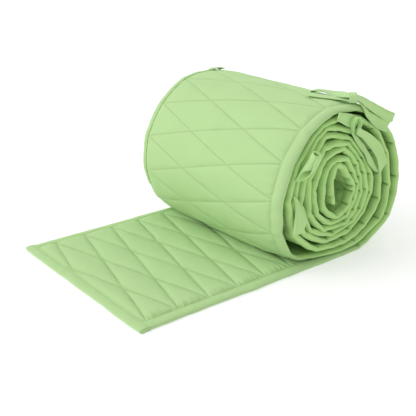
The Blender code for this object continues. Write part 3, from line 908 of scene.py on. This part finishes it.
@dataclass
class EdgeBinding(Binding):
    """A band along one long edge, wound up with the strip."""

    edge: Edge = Edge.NEAR
    ends: float = 0.0143
    plump: float = 0.0045
    plump_free: float = 0.0026
    plump_cut: float = 0.0027

    def span(self) -> Span:
        """Return where the band starts and how long it is."""
        return self.ends, self.wrap.length - 2.0 * self.ends

    def wound(self, pattern: Array) -> Array:
        """Fold the flat pattern over the edge and wind it."""
        s = pattern[:, 0]
        across, height = self.fold.read(pattern[:, 1])
        seed = 21 if self.edge is Edge.NEAR else 31
        wavy = 0.13 * soft_noise(s / 0.010, seed) * (1.0 - ease(across, 0.0105, 0.013))
        height = height * (1.0 + wavy)
        angle = self.wrap.angle(s)
        full = np.where(
            height > 0.0,
            self.wrap.filled(s, True, self.plump), self.wrap.filled(s, False, self.plump),
        )
        free = (angle > 290.0) & (angle < 360.0) & (height < 0.0)
        full = np.where(free, self.plump_free, full) / self.plump_cut
        height = height * (1.0 + (full - 1.0) * ease(angle, 15.0, 40.0))
        dent = self.wrap.crease(s, 0.0021) * ease(angle, 10.0, 20.0) * ease(across, 0.0, 0.004)
        height = np.where(height > 0.0, height * (1.0 - 0.6 * dent), height)
        flat = 1.0 - ease(angle, 2.0, 14.0)
        laid = height * (1.0 - flat) + self.settled(height) * flat
        height = np.where(height < 0.0, laid, height)
        bulge = 0.0007 * soft_noise(s / 0.022, seed + 1) * (1.0 - ease(across, 0.0, 0.012))
        v = across + bulge
        if self.edge is Edge.FAR:
            v = self.wrap.form.width - v
        return self.wrap.place(np.stack([s, v, height], axis=1))

    def tones(self, pattern: Array) -> Tones:
        """Return how much painted shade each place gets: darker and greener on the inner turns
        and the band's inner face, darker in its creases, and a darker line at the seam.
        """
        s = pattern[:, 0]
        across, height = self.fold.read(pattern[:, 1])
        angle = self.wrap.angle(s)
        inner = ease(height, -0.0002, 0.0006)
        # Painted shade: the darker, greener tint on the inner turns and on the band's inner face.
        roll_shade = np.maximum(ease(angle, 330.0, 350.0), inner * ease(angle, 10.0, 30.0))
        # Painted shade in the creases where the wound band breaks.
        crease_shade = self.wrap.crease(s, 0.0015) * inner * ease(angle, 10.0, 20.0)
        crease_shade = crease_shade * ease(across, 0.001, 0.004)
        seam = bell(across - 0.0145, 0.0006)
        if self.edge is Edge.FAR:
            seam = seam * (1.0 - ease(angle, 40.0, 60.0))
        return {"inside": roll_shade, "crease": np.clip(0.85 * crease_shade + 0.35 * seam, 0.0, 0.85)}


@dataclass
class EndBinding(Binding):
    """A band across one short end, from one long edge to the other."""

    free: bool = True
    step: float = 0.0025

    def span(self) -> Span:
        """Return where the band starts and how long it is."""
        return 0.0, self.wrap.form.width

    def wound(self, pattern: Array) -> Array:
        """Fold the flat pattern over the end and lay it in place."""
        v = pattern[:, 0]
        across, height = self.fold.read(pattern[:, 1])
        rounded = np.minimum(v, self.wrap.form.width - v)
        height = height * (0.80 + 0.20 * ease(rounded, -0.001, 0.002))
        height = height * (1.0 + 0.12 * soft_noise(v / 0.011, 41))
        across = across + 0.0007 * (1.0 - ease(rounded, -0.001, 0.003)) * (across < 0.004)
        s = across + 0.0006 * soft_noise(v / 0.03, 43)
        if self.free:
            height = np.where(height < 0.0, self.settled(height), height)
        else:
            s = self.wrap.length - s
        return self.wrap.place(np.stack([s, v, height], axis=1))

    def tones(self, pattern: Array) -> Tones:
        """Return how much painted shade each place gets: none at the free end, the full darker,
        greener tint at the end wound inside the roll.
        """
        return {"inside": np.full(len(pattern), 0.0 if self.free else 1.0)}


def smoothed(rows: Array, steps: int) -> Array:
    """Return rows of numbers with more between them, along a smooth curve."""
    before = np.vstack([rows[:1], rows[:-2]])
    here = rows[:-1]
    after = rows[1:]
    beyond = np.vstack([rows[2:], rows[-1:]])
    path = []
    for k in range(steps):
        t = k / steps
        bend = 2 * before - 5 * here + 4 * after - beyond
        turn = 3 * here - before - 3 * after + beyond
        path.append(here + 0.5 * t * (after - before + t * (bend + t * turn)))
    between = np.stack(path, axis=1).reshape(-1, rows.shape[1])
    return np.vstack([between, rows[-1:]])


@dataclass
class Ribbon:
    """A flat hemmed tie. Its rows give one edge, the other edge and the bow, in mm."""

    form: RollForm
    finish: Cotton
    node: str
    rows: tuple[tuple[float, ...], ...]
    rests_on: tuple[str, ...] = ()
    held: str = "folded"
    half: float = 0.00055
    hem: float = 0.00030
    hem_width: float = 0.0028
    steps: int = 10
    seed: int = 51
    # Share of darker, greener painted shade where the tie hangs in front of the roll's shaded
    # end.
    depth: float = 0.6
    shares: tuple[float, ...] = (
        0.0, 0.02, 0.07, 0.12, 0.155, 0.19, 0.26, 0.38, 0.5,
        0.62, 0.74, 0.81, 0.845, 0.88, 0.93, 0.98, 1.0,
    )

    def path(self) -> Tones:
        """Return the edges, the bow, the facing and the distance at each fine row."""
        fine = smoothed(np.array(self.rows), self.steps)
        near = fine[:, 0:3] / MM - self.form.corner()
        far = fine[:, 3:6] / MM - self.form.corner()
        middle = (near + far) / 2
        face = unit(np.cross(np.gradient(middle, axis=0), far - near))
        run = np.concatenate([[0.0], np.cumsum(np.linalg.norm(np.diff(middle, axis=0), axis=1))])
        return {"near": near, "far": far, "bow": fine[:, 6] / MM, "face": face, "run": run}

    def sizes(self) -> tuple[float, float]:
        """Return the ribbon's width and length before it was tied."""
        path = self.path()
        wide = np.linalg.norm(path["far"] - path["near"], axis=1)
        wide = np.hypot(wide, 2.2 * path["bow"])
        return float(np.mean(wide)), float(path["run"][-1])

    def hem_seam(self, inward: Array) -> Array:
        """Return 1 on the hem's row of stitches and 0 away from it."""
        return bell(inward - self.hem_width + 0.0004, 0.0004)

    def laid(self, pattern: Array) -> Array:
        """Lay the flat pattern along its path."""
        path = self.path()
        width = self.sizes()[0]
        s, v, side = pattern.T
        share = v / width

        def read(values: Array) -> Array:
            """Return vectors of the path at the pattern's places."""
            return np.stack([np.interp(s, path["run"], c) for c in values.T], axis=1)

        inward = to_end(share) * width
        past_hem = ease(inward, self.hem_width, self.hem_width + 0.0006)
        thick = self.half + self.hem * (1.0 - past_hem)
        thick = thick * (0.45 + 0.55 * ease(inward, -0.0001, 0.0006))
        thick = thick - 0.00022 * self.hem_seam(inward)
        lift = np.interp(s, path["run"], path["bow"]) * 4.0 * share * (1.0 - share)
        lift = lift + 0.00035 * soft_noise_2d(s / 0.012, share * 2.0, self.seed)
        lift = lift + 0.00012 * soft_noise(s / 0.0035, self.seed + 1) * (inward < self.hem_width)
        centre = read(path["near"]) * (1.0 - share)[:, None] + read(path["far"]) * share[:, None]
        return centre + unit(read(path["face"])) * (lift + side * thick)[:, None]

    def tones(self, pattern: Array) -> Tones:
        """Return how much painted shade each place gets, where the tie hangs in front of the
        roll's shaded end, and how dark the hem's stitching is.
        """
        placed = self.laid(pattern)
        edge = self.form.width / 2
        # Painted shade: the parts of the tie in front of the roll's end, which lies in shade,
        # take the darker, greener tint.
        front = ease(-placed[:, 1], edge - 0.012, edge + 0.001)
        inward = np.minimum(pattern[:, 1], self.sizes()[0] - pattern[:, 1])
        return {"inside": front * self.depth, "crease": 0.35 * self.hem_seam(inward)}

    def build(self) -> Object:
        """Make the ribbon and dress it."""
        run = self.path()["run"]
        width, length = self.sizes()
        form = flat_grid(len(run) - 1, len(self.shares) - 1)
        for vert in form.verts:
            i = round(vert.co.x)
            vert.co = (run[i], self.shares[round(vert.co.y)] * width, 0.0)
        two_faced(form)
        piece = finish_piece(
            self.node, form, self.laid, self.finish.material(Quilting()), tones=self.tones
        )
        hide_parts(self.node)
        return piece


@dataclass
class Knot:
    """The turn of ribbon that holds the top tie's strands together.

    Its section is rows of place across the ribbon and depth, as shares of width and wall.
    """

    form: RollForm
    finish: Cotton
    node: str = "tie_top_knot"
    centre: tuple[float, float, float] = (0.354, 0.0095, 0.2262)
    half_across: float = 0.0098
    half_up: float = 0.0066
    width: float = 0.0100
    wall: float = 0.0015
    turned: float = 45.0
    squareness: float = 0.62
    columns: int = 72
    section: tuple[tuple[float, float], ...] = (
        (-0.5, 0.0), (-0.5, 0.8), (-0.36, 1.0), (-0.1, 0.86), (0.05, 1.0),
        (0.25, 0.92), (0.42, 1.0), (0.5, 0.75), (0.5, 0.0), (-0.5, 0.0),
    )

    def squared(self, wave: Array) -> Array:
        """Return a wave with fuller crests, which squares off a circle."""
        return np.sign(wave) * np.abs(wave) ** self.squareness

    def tied(self, pattern: Array) -> Array:
        """Bend the flat pattern into a closed turn."""
        u, g, _ = pattern.T
        turn = 2.0 * math.pi * u
        out = np.array(self.section)
        k = np.round(g * (len(out) - 1)).astype(int)
        wide = out[k, 0] * self.width * (1.0 + 0.10 * np.cos(2 * turn))
        depth = (out[k, 1] - 1.0) * self.wall
        across = (self.half_across + depth) * self.squared(np.cos(turn))
        up = (self.half_up + depth) * self.squared(np.sin(turn))
        up = up + 0.0004 * np.sin(3 * turn + 40 * wide)
        lean = math.radians(self.turned)
        along = np.array([-math.sin(lean), math.cos(lean), 0.0])
        side = np.array([math.cos(lean), math.sin(lean), 0.0])
        centre = np.array(self.centre) - self.form.corner()
        return (centre + wide[:, None] * along + across[:, None] * side
                + up[:, None] * np.array([0.0, 0.0, 1.0]))

    def build(self) -> Object:
        """Make the knot and dress it."""
        rows = len(self.section) - 1
        form = flat_grid(self.columns, rows)
        bmesh.ops.scale(form, verts=form.verts, vec=(1 / self.columns, 1 / rows, 1.0))
        piece = finish_piece(self.node, form, self.tied, self.finish.material(Quilting()), True)
        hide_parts(self.node)
        return piece


@dataclass
class CurledTie:
    """A tie whose ribbon is curled lengthwise to a tube.

    Each row is x, y and z of its axis in mm, its radius, the slit in degrees, the way the
    slit faces, and how many more degrees the ribbon runs on inside itself.
    """

    form: RollForm
    finish: Cotton
    node: str = "tie_left"
    rows: tuple[tuple[float, ...], ...] = (
        (242, -2.7, 135.5, 2.6, 230, 70, 0),
        (248.5, -7.4, 142.5, 6, 190, 60, 0),
        (255.5, -9.6, 150.5, 7.2, 90, 50, 60),
        (262.3, -11.6, 160.2, 7.6, 24, 40, 170),
        (263.5, -16.5, 170.5, 7.6, 16, 40, 220),
    )
    half: float = 0.0011
    steps: int = 10
    across: int = 48

    def curled(self, pattern: Array) -> Array:
        """Curl the flat pattern round its axis."""
        fine = smoothed(np.array(self.rows), self.steps)
        axis = fine[:, 0:3] / MM - self.form.corner()
        along = unit(np.gradient(axis, axis=0))
        side = unit(np.cross(along, np.array([0.0, 1.0, 0.0])))
        front = np.cross(side, along)
        i = np.round(pattern[:, 0] / self.spacing()).astype(int)
        share = pattern[:, 1] / self.width()
        radius, slit, facing, more = fine[i, 3:7].T
        sweep = 360.0 - slit + more
        turn = np.radians(facing + slit / 2 + share * sweep)
        inward = np.clip((share * sweep - 250.0) / 110.0, 0.0, 1.05) * 0.0023
        reach = radius / MM - inward - self.half + pattern[:, 2] * self.half
        way = side[i] * np.cos(turn)[:, None] - front[i] * np.sin(turn)[:, None]
        return axis[i] + way * reach[:, None]

    def spacing(self) -> float:
        """Return the distance between two fine rows."""
        rows = np.array(self.rows)[:, 0:3] / MM
        length = np.sum(np.linalg.norm(np.diff(rows, axis=0), axis=1))
        return float(length) / ((len(self.rows) - 1) * self.steps)

    def width(self) -> float:
        """Return the ribbon's mean width, once unrolled."""
        widths = [
            math.radians(360.0 - slit + more) * (radius - 0.8) / MM
            for _, _, _, radius, slit, _, more in self.rows
        ]
        return sum(widths) / len(widths)

    def build(self) -> Object:
        """Make the curled tie and dress it."""
        columns = (len(self.rows) - 1) * self.steps
        form = flat_grid(columns, self.across)
        bmesh.ops.scale(form, verts=form.verts,
                        vec=(self.spacing(), self.width() / self.across, 1.0))
        two_faced(form)
        piece = finish_piece(
            self.node, form, self.curled, self.finish.material(Quilting()),
            # Painted shade: the darker, greener tint, full on the tube's inside and partly on its
            # outside.
            tones=lambda flat: {"inside": 0.3 + 0.7 * (flat[:, 2] < 0.0)},
        )
        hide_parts(self.node)
        self.width()
        return piece


TOP_TIE = (
    (415, -11, 187.5, 429.7, -3, 195.4, 0),
    (405.5, -8.5, 190.5, 416.5, -0.5, 201.5, 0.5),
    (392, -6.5, 198, 403.6, 3, 208.4, 0.5),
    (375.5, -4.2, 208, 389.3, 6, 216.4, 0.5),
    (361, -1.2, 219, 374, 10.5, 224.3, 0.5),
    (353.1, 0.8, 227.6, 362.7, 10.4, 228.6, 0),
    (349.2, 4.7, 228.6, 358.8, 14.3, 229.2, 0),
    (345.3, 8.6, 228.6, 354.9, 18.2, 229.4, 0),
    (346, 20, 225.8, 361, 26, 229.3, 0),
    (349, 34, 224.3, 367, 38, 227.2, 0.5),
    (350, 46, 224.1, 367, 50, 225.6, 0.5),
    (347.5, 56, 226.4, 363.5, 60.5, 225.2, 0),
    (340, 63, 227.8, 356, 67, 226.5, 0),
    (336.4, 69, 227.6, 353.4, 73.5, 226.4, 0),
    (335.3, 70.2, 226.2, 352.3, 74.8, 225.1, 0),
    (334, 69, 224.8, 350.6, 73.2, 223.8, 0),
    (327, 65.5, 225.1, 344, 67.5, 224.4, 0),
    (320.5, 58, 225.2, 337.5, 60.5, 224.9, 0),
    (327, 42, 224.4, 343, 48, 223.9, 0),
    (336, 29, 223.3, 351, 35, 222.8, 0),
    (345.3, 8.6, 223.6, 354.9, 18.2, 223.4, 0),
    (349.2, 4.7, 223.8, 358.8, 14.3, 223.4, 0),
    (353.1, 0.8, 223, 362.7, 10.4, 222.6, 0),
    (360.5, -3, 214, 365, 1, 215.5, 0),
    (369, -3, 201, 375, -1.9, 206.5, 0),
    (390, -3.4, 182, 395.5, -2.4, 196, -1),
    (410.5, -5.5, 172.5, 418, -5.5, 186, -1.5),
)
INNER_TIE = (
    (406.4, -4.4, 110.7, 419.2, -5, 125.8, 1),
    (398, -4.8, 133, 413.5, -5.5, 139, 2),
    (388, -5.2, 147, 402.5, -6, 155.5, 2.5),
    (374, -5.6, 160.5, 387, -6.6, 168.5, 2),
    (361, -6.4, 172.5, 371.4, -7.4, 178.5, 1),
    (347.5, -6.6, 180.5, 355, -8.4, 187, 0),
    (349.5, -5.6, 191, 350.5, -12, 193, 0),
    (349, -5.4, 198.5, 349, -13, 199.5, 0),
    (343, -5.4, 204, 342.5, -13.2, 205, 0),
    (336.2, -5.4, 199.5, 335.2, -13, 200, 0),
    (336, -5.4, 192.5, 335.2, -12, 192, 0),
    (338.5, -5.2, 187.2, 337.5, -10.5, 187, 0),
    (342.5, -2.8, 183, 338.8, -6.4, 183.2, 0),
    (355, -1.9, 174.5, 348.9, -4.2, 170.6, 0.5),
    (371.5, -1.3, 159.5, 361.5, -3.6, 157, 1),
    (386, -1.3, 142.5, 372.5, -3.2, 145.5, 1),
    (397.5, -1.3, 126.5, 381.5, -2.6, 132, 0.5),
    (407, -1.3, 113, 397, -2, 117, 0),
)
INNER_LOOP = (
    (342, -3.4, 189.5, 350, -3.4, 203.5, 0),
    (331.3, -4.4, 193.2, 338.5, -4.4, 208.8, 0.5),
    (321, -5, 198.6, 327, -5, 211.8, 0.5),
    (314.5, -4.7, 202.3, 318.3, -4.7, 213.4, 0),
    (311.6, -3.1, 203.6, 315.4, -3.1, 214.2, 0),
    (314.5, -1.5, 202.3, 318.3, -1.5, 213.4, 0),
    (331, -1.2, 194.8, 338, -1.2, 207.8, 0),
    (350, -1.2, 188, 357, -1.2, 200.5, 0),
)
LOW_TIE = (
    (239.5, -1.3, 115.5, 244, -1.3, 113.5, 0),
    (241.5, -2.2, 105.5, 249, -3.4, 105.5, -0.6),
    (242.3, -3.2, 95.4, 253.5, -5.4, 96, 1.8),
    (240.5, -4.4, 85, 258.5, -6.6, 86.5, 2.6),
    (238.8, -5.4, 75.9, 260, -7.4, 78, 3),
    (237.6, -6, 64.4, 253.1, -7.6, 63.6, 3),
)
FAR_TIE = (
    (332, 278, 226.3, 332, 292, 222.2, 0),
    (340, 279, 227.5, 340, 294, 224.7, 0),
    (348, 279, 226.9, 348, 293, 224.3, 0),
    (355, 278, 225, 355, 291, 221.2, 0),
)


@dataclass
class Studio:
    """The pale floor, the soft lights and the camera.

    Each lamp has a name, the way that its light comes from, its strength in watts a square
    metre, and how wide it looks in degrees.
    """

    floor_tone: float = 0.655
    floor_glow: float = 0.40
    floor_half: float = 30.0
    sky_light: float = 0.66
    lamps: tuple[tuple[str, tuple[float, float, float], float, float], ...] = (
        ("key_light", (-1.0, 0.50, 0.72), 1.36, 55.0),
        ("top_light", (-0.2, 0.5, 1.0), 0.28, 45.0),
        ("side_light", (1.0, 0.15, 0.75), 0.55, 60.0),
    )
    lens: float = 64.83
    sensor: float = 36.0
    camera_place: tuple[float, float, float] = (-0.6372, -0.789, 0.453)
    camera_tilt: float = 68.6
    camera_turn: float = -38.44

    def floor(self) -> None:
        """Lay a wide pale floor under the strip."""
        form = bmesh.new()
        bmesh.ops.create_grid(form, x_segments=4, y_segments=4, size=self.floor_half)
        mesh = bpy.data.meshes.new("floor")
        form.to_mesh(mesh)
        form.free()
        ground = add_object("floor", mesh)
        paint = bpy.data.materials.new("pale_floor")
        nodes = Nodes(paint)
        nodes.feed(nodes.shader, {
            "Base Color": (self.floor_tone,) * 3 + (1.0,), "Roughness": 0.9,
            "Specular IOR Level": 0.1, "Emission Color": (1.0, 1.0, 1.0, 1.0),
            "Emission Strength": self.floor_glow,
        })
        mesh.materials.append(paint)

    def light(self) -> None:
        """Add the lamps and the surrounding light."""
        for name, towards, power, softness in self.lamps:
            light = bpy.data.lights.new(name, "SUN")
            light.energy = power
            light.angle = math.radians(softness)
            lamp = add_object(name, light)
            lamp.rotation_euler = (-Vector(towards)).to_track_quat("-Z", "Y").to_euler()
        world = bpy.data.worlds.new("studio")
        world.use_nodes = True
        sky = world.node_tree.nodes["Background"]
        sky.inputs["Color"].default_value = (1.0, 1.0, 1.0, 1.0)
        sky.inputs["Strength"].default_value = self.sky_light
        bpy.context.scene.world = world

    def build(self) -> None:
        """Set the floor, the lights and the camera."""
        self.floor()
        self.light()
        view = bpy.data.cameras.new("photo_view")
        view.lens = self.lens
        view.sensor_width = self.sensor
        camera = add_object("photo_view", view)
        camera.location = self.camera_place
        camera.rotation_euler = (
            math.radians(self.camera_tilt), 0.0, math.radians(self.camera_turn)
        )
        bpy.context.scene.camera = camera
        bpy.context.scene.view_settings.view_transform = "Standard"


def main() -> None:
    """Build every piece in order and report it."""
    logging.basicConfig(level=logging.INFO, format="%(name)s: %(message)s")
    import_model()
    form = RollForm()
    wrap = Wrap(form, Quilting())
    quilted = Cotton("quilted_cotton", (0.43, 0.63, 0.29), stitched=True)
    seam = float(BandFold().ring()[7, 0])
    band = Cotton("binding_cotton", (0.43, 0.63, 0.29), seam=seam)
    tie = Cotton("tie_cotton", (0.45, 0.66, 0.31))
    QuiltedPanel(wrap, quilted).build()
    EdgeBinding(wrap, band, "edge_binding_near", edge=Edge.NEAR).build()
    EdgeBinding(wrap, band, "edge_binding_far", edge=Edge.FAR).build()
    EndBinding(wrap, band, "end_binding_free", free=True).build()
    EndBinding(wrap, band, "end_binding_inner", free=False).build()
    Ribbon(form, tie, "tie_top", TOP_TIE, ("edge_binding_near", "quilted_panel")).build()
    Knot(form, tie).build()
    Ribbon(form, tie, "tie_inner", INNER_TIE, ("edge_binding_near",), seed=61).build()
    Ribbon(form, tie, "tie_inner_loop", INNER_LOOP, ("edge_binding_near",), seed=71).build()
    CurledTie(form, tie).build()
    Ribbon(form, tie, "tie_low", LOW_TIE, ("edge_binding_near",), seed=81).build()
    Ribbon(form, tie, "tie_far", FAR_TIE, ("edge_binding_far",), seed=91).build()
    Studio().build()


if __name__ == "__main__":
    main()
